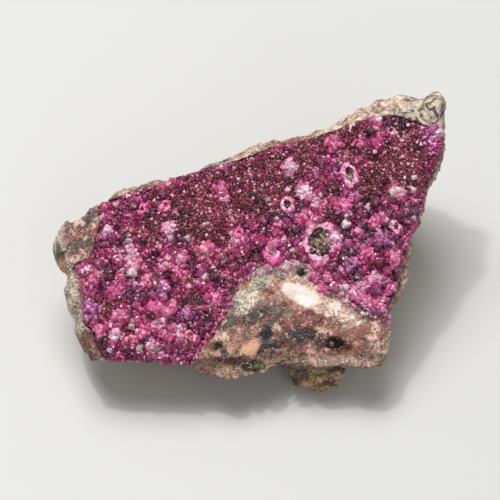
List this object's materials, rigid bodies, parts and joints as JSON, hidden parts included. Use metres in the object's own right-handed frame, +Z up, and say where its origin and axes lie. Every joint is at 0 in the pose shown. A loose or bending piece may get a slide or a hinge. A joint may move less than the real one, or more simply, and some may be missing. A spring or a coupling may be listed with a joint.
{
  "type": "cobaltoan calcite specimen",
  "caption": "Wedge of pale brown host rock with a crust of magenta calcite crystals on its sloping face, a bare front patch, a foot under its front edge and a flat base.",
  "frame": {"origin": "centre of the specimen's bounding box, on the surface it stands on", "axes": "+X along the crystal face from its low left corner to its high right corner, +Y to the back, +Z up"},
  "size_m": [0.072, 0.0526, 0.0345],
  "materials": {
    "host_rock": "rough, mottled brown, pink, grey and white",
    "calcite": "glossy magenta crystals, partly clear"
  },
  "bodies": {
    "root": {"host_rock": "host_rock", "calcite_crust": "calcite"}
  },
  "joints": []
}
